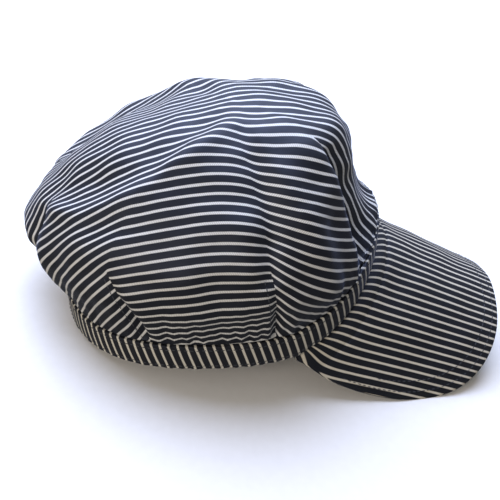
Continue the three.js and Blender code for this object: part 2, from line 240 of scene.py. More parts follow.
# Topstitching: the pitch of the stitches, the size of one, and where the rows run
STITCH_PITCH = 3.4
STITCH_LENGTH = 2.5
THREAD_WIDTH = 0.55
STITCH_UNEVEN = 0.12
STITCH_SEED = 12
BAND_ROW_IN = 2.4
BILL_ROWS_IN = (3.6, 9)
# A row on the bill runs where the bill reaches this many times the row's own margin past
# the root strip
BILL_ROW_START = 3
DART_ROW_COLUMN = 3
DART_ROW_SHARE = 0.92  # how far up its dart a row runs
SEWN_DARTS = ((1, 1), (2, 2), (5, 2), (6, 1))  # panel and seam of each row beside a dart
THREAD_SIDES = 8
THREAD_RINGS = 6

# Fineness of the visible cloth; columns crowd to a panel's seams and rows to the band
PANEL_COLUMNS = 34
COLUMNS_EVEN = 0.5
CROWN_ROWS = 104
ROWS_CROWDING = 1.15
BAND_STEPS = 480
BILL_COLUMNS = 200
BILL_ROWS = 56

# Camera, measured in the cap's own frame: it looks at the middle of the rim
CAMERA_ELEVATION = math.radians(38)
CAMERA_TURN = math.radians(-1.7)
CAMERA_ROLL = math.radians(-1.1)
CAMERA_DISTANCE = 543
PIXELS_PER_MM = 1.568
TARGET_PIXEL = (218.8, 272.4)
PHOTO_PIXELS = 500
SENSOR_MM = 36

# Studio, in metres and watts
FLOOR_HALF = 4.0
LIGHT_AIM = (0, 0, 0.06)
LIGHTS = [
    {"name": "sky_panel", "place": (0.8, 0.3, 1.35), "size": 2.0, "power": 62, "colour": "#d6e1ff"},
    {"name": "back_fill", "place": (-1.15, 1.15, 0.55), "size": 0.9, "power": 13, "colour": "#fff0de"},
]
WORLD_COLOUR = "#fbf7f2"
WORLD_STRENGTH = 0.26

TINY = 1e-9  # keeps a division clear of zero


def mix(low, high, share):
    return low + (high - low) * share


def smooth(share):
    share = np.clip(share, 0, 1)
    return share * share * (3 - 2 * share)


# Shape of the cap in its own frame

def rim_radius(direction):
    """Distance from the rim's middle to the band's outer face."""
    forward = np.cos(direction)
    length = np.where(forward > 0, RIM_FRONT, RIM_BACK)
    square = np.where(forward > 0, SQUARE_FRONT, SQUARE_BACK)
    total = np.abs(forward / length) ** square + np.abs(np.sin(direction) / RIM_SIDE) ** square
    return total ** (-1 / square)


def bill_up(forward, side):
    """Height of the bill's upper face away from the band."""
    fall = BILL_FALL * (forward - RIM_FRONT) / BILL_REACH
    return ARCH_RISE - ROOT_STEP - fall - BILL_SAG * (side / BILL_HALF) ** 2


def rim_up(direction):
    """The rim is level round the back and follows the root of the bill in front."""
    forward = rim_radius(direction) * np.cos(direction)
    side = rim_radius(direction) * np.sin(direction)
    taken = np.clip((forward - TEMPLE) / TEMPLE_RUN, 0, 1)
    return taken * np.maximum(bill_up(forward, side) + ROOT_STEP, 0)


def beside_rim(direction, out, up):
    radius = rim_radius(direction) + out
    return np.stack([radius * np.cos(direction), radius * np.sin(direction), rim_up(direction) + up], -1)


def spline(a, b, c, d, t):
    """A smooth curve through b and c, with a and d as its neighbours."""
    bend = 2 * a - 5 * b + 4 * c - d
    return 0.5 * (2 * b + (c - a) * t + bend * t**2 + (3 * b - a - 3 * c + d) * t**3)


def section_share(level, column, direction):
    """A share of the section table in any direction, mirrored left to right."""
    half = [row[level][column] for row in SECTIONS]
    around = np.array(half + half[-2:0:-1])
    place = (np.degrees(direction) % 360) / SECTION_STEP
    first = np.floor(place).astype(int)
    a, b, c, d = (around[(first + step) % len(around)] for step in (-1, 0, 1, 2))
    return spline(a, b, c, d, place - first)


def section_corner(level, direction):
    seam_up = rim_up(direction) + BAND_HEIGHT
    reach = rim_radius(direction) * section_share(level, 0, direction)
    return np.stack([reach, mix(seam_up, CROWN_HEIGHT, section_share(level, 1, direction))], -1)


def plain_crown(direction, level):
    """The crown's outer face before folding; level runs from 0 at the band to 1 at the crest."""
    direction, level = np.broadcast_arrays(np.asarray(direction, float), np.asarray(level, float))
    turned_out = rim_up(direction) + BAND_HEIGHT + SEAM_LIFT
    start = np.stack([rim_radius(direction) - SEAM_INSET, turned_out], -1)
    bulge = section_corner("bulge", direction)
    before = mix(start, bulge, np.array([START_OUT, START_UP]))
    summit = np.full(direction.shape, float(CROWN_HEIGHT))
    crest = np.stack([CREST_FORWARD * np.cos(direction), summit], -1)
    across = section_corner("top", direction + math.pi) * np.array([-1, 1])
    corners = np.stack([
        before, start, bulge, section_corner("middle", direction), section_corner("shoulder", direction),
        section_corner("top", direction), crest, across,
    ])
    spans = len(corners) - 3
    place = np.clip(level, 0, 1) * spans
    first = np.minimum(np.floor(place).astype(int), spans - 1)
    a, b, c, d = (np.take_along_axis(corners, (first + step)[None, ..., None], 0)[0] for step in range(4))
    reach, up = np.moveaxis(spline(a, b, c, d, (place - first)[..., None]), -1, 0)
    closing = np.clip((level - 1 + CREST_SHARE) / CREST_SHARE, 0, 1) ** 2
    sideways = -CREST_FORWARD * np.sin(direction) * closing
    return np.stack([
        reach * np.cos(direction) - sideways * np.sin(direction),
        reach * np.sin(direction) + sideways * np.cos(direction),
        up,
    ], -1)


def unit(vectors):
    return vectors / np.maximum(np.linalg.norm(vectors, axis=-1, keepdims=True), TINY)


def crown_axes(direction, level):
    """On the crown before folding: unit vectors up the section and on round the cap."""
    above = plain_crown(direction, np.minimum(level + NORMAL_STEP, 1 - NORMAL_STEP / 4))
    rise = unit(above - plain_crown(direction, np.maximum(level - NORMAL_STEP, 0)))
    turn = plain_crown(direction + NORMAL_STEP, level) - plain_crown(direction - NORMAL_STEP, level)
    across = (turn * rise).sum(-1, keepdims=True)
    return rise, unit(turn - across * rise)


def turned_back(direction):
    """The direction in degrees from the forehead, the same on both sides."""
    return np.degrees(np.arctan2(np.abs(np.sin(direction)), np.cos(direction)))


def beside_line(row, turned, along, radius):
    """Distance round the cap from a fold's or a seam's line, above zero behind it."""
    return np.radians(turned - mix(row["low"], row["high"], along)) * radius


def fold_depth(direction, level, radius):
    """How far the folds, the stitched darts and the puckers at the band push the cloth in."""
    turned = turned_back(direction)
    depth = np.zeros(np.broadcast(direction, level).shape)
    for fold in FOLDS:
        along = np.clip((level - fold["from"]) / (fold["to"] - fold["from"]), 0, 1)
        offset = beside_line(fold, turned, along, radius)
        width = FOLD_WIDTH * np.where(offset < 0, fold["ahead"], fold["behind"])
        swell = np.sin(math.pi * along**FOLD_PEAK)
        depth += FOLD_DEPTH * fold["depth"] * swell * np.exp(-((offset / width) ** 2))
    for seam in SEAMS:
        along = np.clip(level / seam["end"], 0, 1)
        offset = beside_line(seam, turned, along, radius)
        fade = smooth(GROOVE_FADE - GROOVE_FADE * along)
        depth += seam["groove"] * fade * np.exp(-np.abs(offset) / GROOVE_WIDTH)
    near_band = np.exp(-level / PUCKER_REACH) * smooth(level / PUCKER_START)
    return depth + PUCKER_DEPTH * puckers(direction) * near_band


def ridge_depth(direction, level):
    """The top of the crown sags a little inside the ridge that runs round its sides and back."""
    turned = turned_back(direction)
    line = np.interp(turned, *zip(*((row["direction"], row["level"]) for row in RIDGE_LINE)))
    above = level - line
    sag = RIDGE_SAG * np.exp(-(((above - RIDGE_SAG_ABOVE) / RIDGE_SAG_WIDTH) ** 2))
    first, last = RIDGE_LINE[0]["direction"], RIDGE_LINE[-1]["direction"]
    fade = smooth((turned - first) / RIDGE_FADE) * smooth((last + RIDGE_FADE / 2 - turned) / RIDGE_FADE)
    return (sag - RIDGE_RISE * np.exp(-((above / RIDGE_WIDTH) ** 2))) * fade


def pleat_lap(direction, level, radius):
    """How far the cloth laps over the pleats, towards the forehead."""
    turned = turned_back(direction)
    lap = np.zeros(np.broadcast(direction, level).shape)
    for seam in SEAMS:
        along = np.clip(level / seam["end"], 0, 1)
        offset = beside_line(seam, turned, along, radius)
        offset *= math.copysign(1 / LIP_WIDTH, seam["lip"])
        near = np.where(offset > 0, offset * np.exp(1 - offset), 0)
        lap += seam["lip"] * smooth(LIP_FADE - LIP_FADE * along) * smooth(level / LIP_START) * near
    return lap


def puckers(direction):
    """Uneven gathers round the cap, where the crown is eased into the band."""
    rng = np.random.default_rng(PUCKER_SEED)
    turns = rng.integers(*PUCKER_WAVES, NOISE_WAVES)
    starts = rng.uniform(0, 2 * math.pi, NOISE_WAVES)
    total = sum(np.sin(n * direction + start) for n, start in zip(turns, starts))
    return total / math.sqrt(NOISE_WAVES / 2)


def soft_noise(points, length, seed):
    """Smooth unevenness about one unit deep, made of many waves of about this length."""
    rng = np.random.default_rng(seed)
    height = np.zeros(points.shape[:-1])
    for _ in range(NOISE_WAVES):
        heading = unit(rng.normal(size=3)) * 2 * math.pi / (length * rng.uniform(*NOISE_SPREAD))
        height += np.sin(points @ heading + rng.uniform(0, 2 * math.pi))
    return height / math.sqrt(NOISE_WAVES / 2)


def seam_directions(level):
    """Directions of all seams round the cap at some levels, one column a seam."""
    right = [mix(s["low"], s["high"], np.clip(level / s["end"], 0, 1)) for s in SEAMS]
    left = [360 - turn for turn in reversed(right)]
    return np.radians(np.stack(right + left, -1))


# Crown: eight panels, each with its own piece of the flat cloth

def crown_grid():
    """Directions and levels of the crown's points, as rows by panels by columns."""
    even = np.linspace(0, 1, PANEL_COLUMNS + 1)
    shares = COLUMNS_EVEN * even + (1 - COLUMNS_EVEN) / 2 * (1 - np.cos(math.pi * even))
    levels = np.linspace(0, 1, CROWN_ROWS + 1)[:-1] ** ROWS_CROWDING
    seams = seam_directions(levels)
    ends = np.concatenate([seams[:, 1:], seams[:, :1] + 2 * math.pi], 1)
    direction = mix(seams[:, :, None], ends[:, :, None], shares)
    return direction, levels, shares


def cloth_turn(levels, shares):
    """The lay of the cloth as an angle at every point of the crown, by rows, panels and columns."""
    full = 2 * math.pi
    at_levels = [0, *LAY_LEVELS.values(), 1]
    crest = seam_directions(np.ones(1))[0]
    crest = np.append(crest, crest[0] + full)
    edges = [[np.radians(lay[name]) for name in ("low", *LAY_LEVELS)] for lay in LAYS]
    mirrored = [[full - edge[::-1] for edge in panel] for panel in edges[-2::-1]]
    front = [full + np.radians(FRONT_LAY[name]) for name in ("low", *LAY_LEVELS)]
    turn = []
    for number, panel in enumerate(edges + mirrored + [front]):
        start, end = crest[number : number + 2]
        table = np.array(panel + [[start, (start + end) / 2, end]])
        rows = np.stack([np.interp(levels, at_levels, column) for column in table.T], -1)
        turn.append([np.interp(shares, (0, 0.5, 1), row) for row in rows])
    return np.stack([np.array(panel) for panel in turn], 1)


def breadths(points, axis):
    """How wide a strip of cloth each point stands for, along one axis of the grid."""
    steps = np.moveaxis(np.linalg.norm(np.diff(points, axis=axis), axis=-1), axis, 0)
    halves = np.concatenate([steps[:1], (steps[1:] + steps[:-1]) / 2, steps[-1:]])
    return np.moveaxis(halves, 0, axis)


def settle(points, crest, slope, levels):
    """The cloth coordinate whose slope over the crown comes nearest to the wanted one.

    Panels are apart below the tips of their darts and run on into each other above."""
    rows, panels, columns = points.shape[:3]
    number = np.arange(rows * panels * columns).reshape(rows, panels, columns)
    ends = [seam["end"] for seam in SEAMS]
    for panel, end in enumerate(ends + ends[::-1]):
        joined = levels >= end
        number[joined, panel - 1, -1] = number[joined, panel, 0]
    top = number.size
    spread = breadths(points, 2)
    tall = breadths(points, 0)
    left, right = slope[:, :, :-1], slope[:, :, 1:]
    pairs = [
        (number[:-1], number[1:], np.diff(points, axis=0), slope[:-1] + slope[1:], spread[1:]),
        (number[:, :, :-1], number[:, :, 1:], np.diff(points, axis=2), left + right, tall[:, :, :-1]),
        (number[-1], np.full_like(number[-1], top), crest - points[-1], 2 * slope[-1], spread[-1]),
    ]
    first, second, weight, wanted = [], [], [], []
    for start, end, edge, doubled, breadth in pairs:
        length = np.linalg.norm(edge, axis=-1)
        first.append(start.ravel())
        second.append(end.ravel())
        weight.append((breadth / np.maximum(length, TINY)).ravel())
        wanted.append((edge * doubled).sum(-1).ravel() / 2)
    first, second, weight, wanted = (np.concatenate(part) for part in (first, second, weight, wanted))

    def gather(flow):
        return np.bincount(second, flow, top + 1) - np.bincount(first, flow, top + 1)

    load = np.bincount(first, weight, top + 1) + np.bincount(second, weight, top + 1)
    load = np.maximum(load, TINY)
    value = np.zeros(top + 1)
    rest = gather(weight * wanted)
    aim = rest / load
    heading = aim.copy()
    worth = rest @ aim
    goal = worth * SETTLE_ERROR**2
    for _ in range(SETTLE_ROUNDS):
        pulled = gather(weight * (heading[second] - heading[first]))
        length = worth / (heading @ pulled)
        value += length * heading
        rest -= length * pulled
        aim = rest / load
        now = rest @ aim
        if now < goal:
            break
        heading = aim + now / worth * heading
        worth = now
    return value[number] - value[top]


def flat_cloth(points, crest, direction, levels, shares):
    """Where each point of the crown lies on the flat cloth: across its stripes and along them."""
    rise, round_the_cap = crown_axes(direction, np.broadcast_to(levels[:, None, None], direction.shape))
    turn = cloth_turn(levels, shares)[..., None]
    across = np.cos(turn) * round_the_cap - np.sin(turn) * rise
    along = -np.sin(turn) * round_the_cap - np.cos(turn) * rise
    return np.stack([settle(points, crest, slope, levels) for slope in (across, along)], -1)


def grid_normal(rows):
    """Outward normals of rows that run round the cap."""
    turn = np.roll(rows, -1, 1) - np.roll(rows, 1, 1)
    rise = np.concatenate([rows[1:2] - rows[:1], rows[2:] - rows[:-2], rows[-1:] - rows[-2:-1]])
    return unit(np.cross(turn, rise))


def linked(name, data):
    """A new object in the scene."""
    thing = bpy.data.objects.new(name, data)
    bpy.context.scene.collection.objects.link(thing)
    return thing


class Mesh:
    """Points, faces and the cloth coordinates of each face corner."""

    def __init__(self):
        self.points = []
        self.faces = []
        self.cloth = []
        self.count = 0

    def add_points(self, points):
        first = self.count
        self.points.append(points.reshape(-1, 3))
        self.count += len(self.points[-1])
        return first

    def add_face(self, corners, cloth):
        self.faces.append(corners)
        self.cloth.extend(cloth)

    def add_grid(self, numbers, cloth, flip=False):
        """Quads over a grid of point numbers with a cloth coordinate for each."""
        rows, columns = numbers.shape
        corners = [(0, 0), (0, 1), (1, 1), (1, 0)]
        if flip:
            corners.reverse()
        views = [(slice(r, rows - 1 + r), slice(c, columns - 1 + c)) for r, c in corners]
        quads = np.stack([numbers[view] for view in views], -1).reshape(-1, 4)
        self.faces.extend(quads.tolist())
        self.cloth.extend(np.stack([cloth[view] for view in views], 2).reshape(-1, 2).tolist())

    def build(self, name, material):
        mesh = bpy.data.meshes.new(name)
        mesh.from_pydata(lay_down(np.concatenate(self.points)).tolist(), [], self.faces)
        layer = mesh.uv_layers.new(name="cloth")
        layer.data.foreach_set("uv", np.array(self.cloth, float).ravel())
        mesh.shade_smooth()
        mesh.materials.append(material)
        return linked(name, mesh)


def build_crown(material):
    direction, levels, shares = crown_grid()
    level = np.broadcast_to(levels[:, None, None], direction.shape)
    plain = plain_crown(direction, level)
    crest = plain_crown(np.zeros(1), np.ones(1))
    cloth = flat_cloth(plain, crest[0], direction, levels, shares)
    radius = np.hypot(plain[..., 0], plain[..., 1])
    depth = fold_depth(direction, level, radius)
    loose = smooth(level / LOOSE_START) * smooth((1 - level) / LOOSE_START)
    depth += smooth((1 - level) / RIDGE_CLEAR) * ridge_depth(direction, level)
    depth += loose * WRINKLE_DEPTH * soft_noise(plain, WRINKLE_LENGTH, WRINKLE_SEED)
    depth += loose * CREASE_DEPTH * soft_noise(plain, CREASE_LENGTH, CREASE_SEED)
    lap = pleat_lap(direction, level, radius)
    rise, round_the_cap = crown_axes(direction, level)
    forward = -np.sign(np.sin(direction)) * lap
    depth -= LIP_RISE * np.abs(lap)
    folded = plain - np.cross(round_the_cap, rise) * depth[..., None]
    folded += round_the_cap * forward[..., None]
    rows, panels, columns = direction.shape
    ring = folded[:, :, :-1].reshape(rows, -1, 3)
    low = direction[0, :, :-1].ravel()
    skirt = np.stack([beside_rim(low, -BAND_WALL - GAP, BAND_HEIGHT - down) for down in TUCK_ROWS])
    outer = np.concatenate([skirt, ring])
    inner = outer - grid_normal(outer) * CROWN_WALL
    inner[0, :, 2] = outer[0, :, 2]
    made = Mesh()
    first_outer = made.add_points(outer)
    first_inner = made.add_points(inner)
    top = made.add_points(crest)
    under = made.add_points(crest - np.array([0, 0, CROWN_WALL]))
    around = ring.shape[1]
    drop = SEAM_LIFT + np.array(TUCK_ROWS)
    for panel in range(panels):
        picks = (panel * (columns - 1) + np.arange(columns)) % around
        outward = unit(cloth[:1, panel] - cloth[1:2, panel])
        patch = np.concatenate([cloth[:1, panel] + outward * drop[:, None, None], cloth[:, panel]])
        numbers = np.arange(len(outer))[:, None] * around + picks
        made.add_grid(first_outer + numbers, patch)
        made.add_grid(first_inner + numbers, patch, flip=True)
        edge = np.stack([first_outer + numbers[0], first_inner + numbers[0]])
        made.add_grid(edge, np.stack([patch[0], patch[0] + outward[0] * CROWN_WALL]), flip=True)
        for column in range(columns - 1):
            a, b = numbers[-1, column], numbers[-1, column + 1]
            flat = [patch[-1, column], patch[-1, column + 1], np.zeros(2)]
            made.add_face([first_outer + a, first_outer + b, top], flat)
            made.add_face([first_inner + b, first_inner + a, under], [flat[1], flat[0], flat[2]])
    normal = grid_normal(ring)
    rows_of_thread = []
    for panel, seam in SEWN_DARTS:
        sewn = levels < SEAMS[seam]["end"] * DART_ROW_SHARE
        column = panel * (columns - 1) + (DART_ROW_COLUMN if panel < panels / 2 else -DART_ROW_COLUMN)
        rows_of_thread.append(stitch_row(ring[sewn, column], normal[sewn, column]))
    return made.build("crown_cloth", material), rows_of_thread


# Band: a flat strip folded at both edges, cut across the stripe

def band_section():
    """Corners of the band's section as out and up, counted round from the lower outer edge."""
    top_edge = BAND_HEIGHT - BAND_ROUND
    outer = [
        (BAND_SWELL * math.sin(math.pi * t), mix(BAND_ROUND, top_edge, t))
        for t in np.linspace(0, 1, BAND_FACE_POINTS)
    ]
    top = [
        (-BAND_ROUND * (1 - math.cos(a)), BAND_HEIGHT - BAND_ROUND * (1 - math.sin(a)))
        for a in np.linspace(0, math.pi / 2, BAND_TURN_POINTS)[1:]
    ]
    inner_top = [(-BAND_WALL - out, up) for out, up in reversed(top)]
    inner = [(-BAND_WALL, mix(top_edge, BAND_ROUND, t)) for t in np.linspace(0, 1, BAND_TURN_POINTS)]
    upper = outer + top + inner_top + inner[:-1]
    lower = [(out, BAND_HEIGHT - up) for out, up in reversed(top + inner_top)]
    return np.array(upper + [inner[-1]] + lower[1:-1])


def build_band(material):
    section = band_section()
    direction = np.linspace(0, 2 * math.pi, BAND_STEPS + 1) + math.pi
    rim = beside_rim(direction, 0, 0)
    along = np.concatenate([[0], np.cumsum(np.linalg.norm(np.diff(rim, axis=0), axis=-1))])
    ripple = BAND_RIPPLE * puckers(direction[:-1])
    outside = np.clip(section[:, 0] / RIPPLE_INWARD + 1, 0, 1)[:, None]
    from_edge = np.minimum(section[:, 1], BAND_HEIGHT - section[:, 1])
    near_edge = np.exp(-from_edge / RIPPLE_REACH)[:, None]
    rings = np.stack([beside_rim(direction[:-1], out, up) for out, up in section])
    outward = np.stack([np.cos(direction[:-1]), np.sin(direction[:-1]), 0 * direction[:-1]], -1)
    rings = rings + outward[None] * (outside * near_edge * ripple)[..., None]
    made = Mesh()
    first = made.add_points(rings)
    lengths = np.linalg.norm(np.diff(np.vstack([section, section[:1]]), axis=0), axis=-1)
    girth = np.concatenate([[0], np.cumsum(lengths)])
    numbers = np.arange(len(section) + 1)[:, None] % len(section) * BAND_STEPS
    numbers = numbers + np.arange(BAND_STEPS + 1) % BAND_STEPS
    across = along[None, :] + np.tan(BAND_SLANT) * girth[:, None]
    cloth = np.stack([across, np.broadcast_to(girth[:, None], across.shape)], -1)
    made.add_grid(first + numbers, cloth)
    bulged = section[:, 0].argmax()
    ups = section[: bulged * 2, 1]
    rows_of_thread = []
    for height in (BAND_ROW_IN, BAND_HEIGHT - BAND_ROW_IN):
        ring = np.abs(ups - height).argmin()
        line = np.concatenate([rings[ring], rings[ring, :1]])
        rows_of_thread.append(stitch_row(line, np.concatenate([outward, outward[:1]])))
    return made.build("band_cloth", material), rows_of_thread


# Bill

def temple_side():
    return RIM_SIDE * (1 - (TEMPLE / RIM_FRONT) ** SQUARE_FRONT) ** (1 / SQUARE_FRONT)


def bill_edge(shares):
    """The outer edge from above; shares run from -1 to 1, evenly along the edge."""
    turn = np.linspace(-math.pi / 2, math.pi / 2, 2 * EDGE_SAMPLES + 1)
    power = 2 / BILL_SQUARE
    reach = np.abs(np.cos(turn)) ** power
    half = mix(BILL_HALF, temple_side(), (1 - reach) ** CORNER_PULL)
    forward = TEMPLE + (RIM_FRONT + BILL_REACH - TEMPLE) * reach
    side = half * np.sign(turn) * np.abs(np.sin(turn)) ** power
    lengths = np.concatenate([[0], np.cumsum(np.hypot(np.diff(forward), np.diff(side)))])
    target = (shares + 1) / 2 * lengths[-1]
    return np.interp(target, lengths, forward), np.interp(target, lengths, side)


def bill_arc(side):
    """Length across the arched bill from its centre line, so that the stripes stay even."""
    bend = 2 * BILL_SAG / BILL_HALF**2
    slope = bend * side
    return (slope * np.sqrt(1 + slope**2) + np.arcsinh(slope)) / (2 * bend)


def bill_slope(side):
    """The bill's upper face leans out from the centre line; this is its upward normal."""
    ahead = np.full(side.shape, BILL_FALL / BILL_REACH)
    return unit(np.stack([ahead, 2 * BILL_SAG / BILL_HALF**2 * side, np.ones(side.shape)], -1))


def bill_face(direction, shares):
    """The upper face from the root to the edge, and for each of its points how far it is from
    the root, its share of the way to the edge, and its place across the stripes.

    Within ROOT_STRIP of the root the stripes turn up towards the band."""
    root = beside_rim(direction, -BAND_WALL - GAP, -GAP)
    edge_forward, edge_side = bill_edge(shares)
    reach = np.hypot(edge_forward - root[:, 0], edge_side - root[:, 1])
    strip = np.minimum(ROOT_STRIP / np.maximum(reach, TINY), STRIP_SHARE)
    strip_runs = np.linspace(0, 1, ROOT_STRIP_ROWS + 1)[:-1, None] * strip
    runs = np.concatenate([strip_runs, mix(strip, 1, np.linspace(0, 1, BILL_ROWS + 1)[:, None])])
    forward = mix(root[:, 0], edge_forward, runs)
    side = mix(root[:, 1], edge_side, runs)
    away = np.hypot(forward - root[:, 0], side - root[:, 1])
    fade = np.exp(-((away / ROOT_RUN) ** 2))
    plain = bill_up(forward, side)
    at_root = root[:, 2] + (plain - bill_up(root[:, 0], root[:, 1])) * ROOT_SLOPE
    face = np.stack([forward, side, mix(plain, at_root, fade)], -1)
    past = ROOT_BEND * np.logaddexp(0, (away - ROOT_STRIP) / ROOT_BEND)
    before = ROOT_BEND * np.logaddexp(0, (ROOT_STRIP - away) / ROOT_BEND)
    held = (ROOT_STRIP + past) / np.maximum(reach, TINY)
    held = np.clip(held, runs, 1)
    stripes = bill_stripes(mix(root[:, 0], edge_forward, held), mix(root[:, 1], edge_side, held))
    return face, away, runs, stripes + root_turn(reach) * before


def root_turn(reach):
    """How steeply the stripes turn up at the root, less where the bill is narrow."""
    return ROOT_TURN * smooth(reach / TURN_REACH)


def bill_stripes(forward, side):
    """Across the bill's stripes, which fan a little and aren't cut dead straight."""
    ahead = (forward - TEMPLE) / (RIM_FRONT + BILL_REACH - TEMPLE)
    across = bill_arc(side) * mix(*BILL_FAN, np.clip(ahead, 0, 1))
    return across * math.cos(BILL_SKEW) + (forward - TEMPLE) * math.sin(BILL_SKEW)


def build_bill(material):
    shares = np.linspace(-1, 1, BILL_COLUMNS + 1)
    direction = shares * math.atan2(temple_side(), TEMPLE)
    face, away, runs, stripes = bill_face(direction, shares)
    normal = bill_slope(face[..., 1])
    back = face - normal * BILL_WALL
    crease = ROOT_CREASE * np.exp(-np.abs(away - ROOT_STRIP) / ROOT_CREASE) * smooth(away / ROOT_STRIP)
    uneven = BILL_UNEVEN * soft_noise(face, BILL_UNEVEN_LENGTH, BILL_SEED)
    uneven *= smooth(runs / BILL_UNEVEN_START)
    face = face - normal * (crease + uneven)[..., None]
    middle = mix(face[-1], back[-1], 0.5)
    outward = unit(middle - mix(face[-2], back[-2], 0.5))
    bows = [
        mix(face[-1], back[-1], t) + outward * BILL_WALL * EDGE_BOW * math.sin(math.pi * t)
        for t in np.linspace(0, 1, EDGE_BOW_POINTS)[1:-1]
    ]
    tuck = beside_rim(direction, -BAND_WALL - GAP, BILL_TUCK)
    inner_tuck = beside_rim(direction, -BAND_WALL - GAP - TUCK_WALL, BILL_TUCK)
    section = np.concatenate([tuck[None], face, np.stack(bows), back[::-1], inner_tuck[None]])
    made = Mesh()
    first = made.add_points(section)
    ring, columns = section.shape[:2]
    numbers = first + np.arange(ring + 1)[:, None] % ring * columns + np.arange(columns)
    closed = np.concatenate([section, section[:1]])
    lengths = np.linalg.norm(np.diff(closed, axis=0), axis=-1)
    along = np.concatenate([np.zeros((1, columns)), np.cumsum(lengths, 0)])
    across = bill_stripes(closed[..., 0], closed[..., 1])
    across[1 : len(face) + 1] = stripes
    across[0] = across[-1] = stripes[0] + root_turn(away[-1]) * BILL_TUCK
    cloth = np.stack([across, along], -1)
    made.add_grid(numbers, cloth, flip=True)
    for column, flip in ((0, False), (columns - 1, True)):
        for corner in range(ring // 2):
            far = ring - 1 - corner
            if far <= corner + 1:
                break
            corners = [corner, corner + 1, far - 1, far]
            if corner + 1 == far - 1:
                corners.pop(2)
            if flip:
                corners.reverse()
            made.add_face(numbers[corners, column].tolist(), cloth[corners, column])
    left = (1 - runs) * np.hypot(face[-1, :, 0] - face[0, :, 0], face[-1, :, 1] - face[0, :, 1])
    rows_of_thread = []
    for margin in BILL_ROWS_IN:
        sewn = np.flatnonzero(left[0] > ROOT_STRIP + margin * BILL_ROW_START)
        line, outward = (
            np.stack([
                [np.interp(-margin, -left[:, column], values[:, column, axis]) for axis in range(3)]
                for column in sewn
            ])
            for values in (face, normal)
        )
        rows_of_thread.append(stitch_row(line, outward))
    return made.build("bill_cloth", material), rows_of_thread


# Topstitching

def stitch_row(line, outward):
    """Evenly spaced stitches along a line on the cloth, each with its place and its turn."""
    steps = np.linalg.norm(np.diff(line, axis=0), axis=-1)
    lengths = np.concatenate([[0], np.cumsum(steps)])
    count = int(lengths[-1] // STITCH_PITCH)
    at = (np.arange(count) + 0.5) * lengths[-1] / count

    def sample(values, shift=0):
        return np.stack([np.interp(at + shift, lengths, column) for column in values.T], -1)

    ahead = turn_to_row(sample(line, STITCH_LENGTH / 2) - sample(line, -STITCH_LENGTH / 2))
    out = unit(turn_to_row(sample(outward)))
    side = unit(np.cross(out, ahead))
    ahead = np.cross(side, out)
    axes = np.stack([ahead, side, out], -1)
    turns = [Matrix(frame_axes.tolist()).to_euler("XYZ") for frame_axes in axes]
    return place_in_row(sample(line)), np.array(turns)


def thread_tree(material):
    """Puts one short rounded length of thread on every point, turned to lie along its row."""
    tree = bpy.data.node_groups.new("topstitching", "GeometryNodeTree")
    ports = tree.interface
    ports.new_socket("Geometry", in_out="INPUT", socket_type="NodeSocketGeometry")
    for name in ("Stitch length", "Thread width", "Unevenness"):
        ports.new_socket(name, in_out="INPUT", socket_type="NodeSocketFloat")
    ports.new_socket("Seed", in_out="INPUT", socket_type="NodeSocketInt")
    ports.new_socket("Geometry", in_out="OUTPUT", socket_type="NodeSocketGeometry")
    places, length, width, uneven, seed, _ = add(tree, "NodeGroupInput").outputs
    ball = {"Segments": THREAD_SIDES, "Rings": THREAD_RINGS, "Radius": 0.5}
    thread = add(tree, "GeometryNodeMeshUVSphere", ball)
    size = add(tree, "ShaderNodeCombineXYZ", X=length, Y=width, Z=width)
    turn = add(tree, "GeometryNodeInputNamedAttribute", {"data_type": "FLOAT_VECTOR", "Name": "turn"})
    either_way = {"data_type": "FLOAT_VECTOR", 0: (-1, -1, -1), 1: (1, 1, 1)}
    chance = add(tree, "FunctionNodeRandomValue", either_way, Seed=seed)
    wobble = add(tree, "ShaderNodeVectorMath", {"operation": "SCALE"}, i0=chance, Scale=uneven)
    turned = add(tree, "ShaderNodeVectorMath", {"operation": "ADD"}, i0=turn, i1=wobble)
    rotation = add(tree, "FunctionNodeEulerToRotation", i0=turned)
    stitches = add(
        tree, "GeometryNodeInstanceOnPoints", Points=places, Instance=thread, Rotation=rotation, Scale=size,
    )
    real = add(tree, "GeometryNodeRealizeInstances", i0=stitches)
    finished = add(tree, "GeometryNodeSetMaterial", {"Material": material}, Geometry=real)
    add(tree, "NodeGroupOutput", i0=finished)
    return tree


def build_stitches(name, rows, tree):
    """Turns rows of stitch places into one plain mesh of thread."""
    places, turns = (np.concatenate(part) for part in zip(*rows))
    points = bpy.data.meshes.new(name + "_points")
    points.from_pydata(places.tolist(), [], [])
    points.attributes.new("turn", "FLOAT_VECTOR", "POINT").data.foreach_set("vector", turns.ravel())
    holder = linked(name + "_points", points)
    modifier = holder.modifiers.new("topstitching", "NODES")
    modifier.node_group = tree
    values = {
        "Stitch length": STITCH_LENGTH * MM, "Thread width": THREAD_WIDTH * MM,
        "Unevenness": STITCH_UNEVEN, "Seed": STITCH_SEED,
    }
    for socket in tree.interface.items_tree:
        if socket.in_out == "INPUT" and socket.name in values:
            modifier[socket.identifier] = values[socket.name]
    evaluated = holder.evaluated_get(bpy.context.evaluated_depsgraph_get())
    mesh = bpy.data.meshes.new_from_object(evaluated)
    bpy.data.objects.remove(holder)
    mesh.shade_smooth()
    return linked(name, mesh)


# How the cap lies: back on the band and on both side edges of the bill

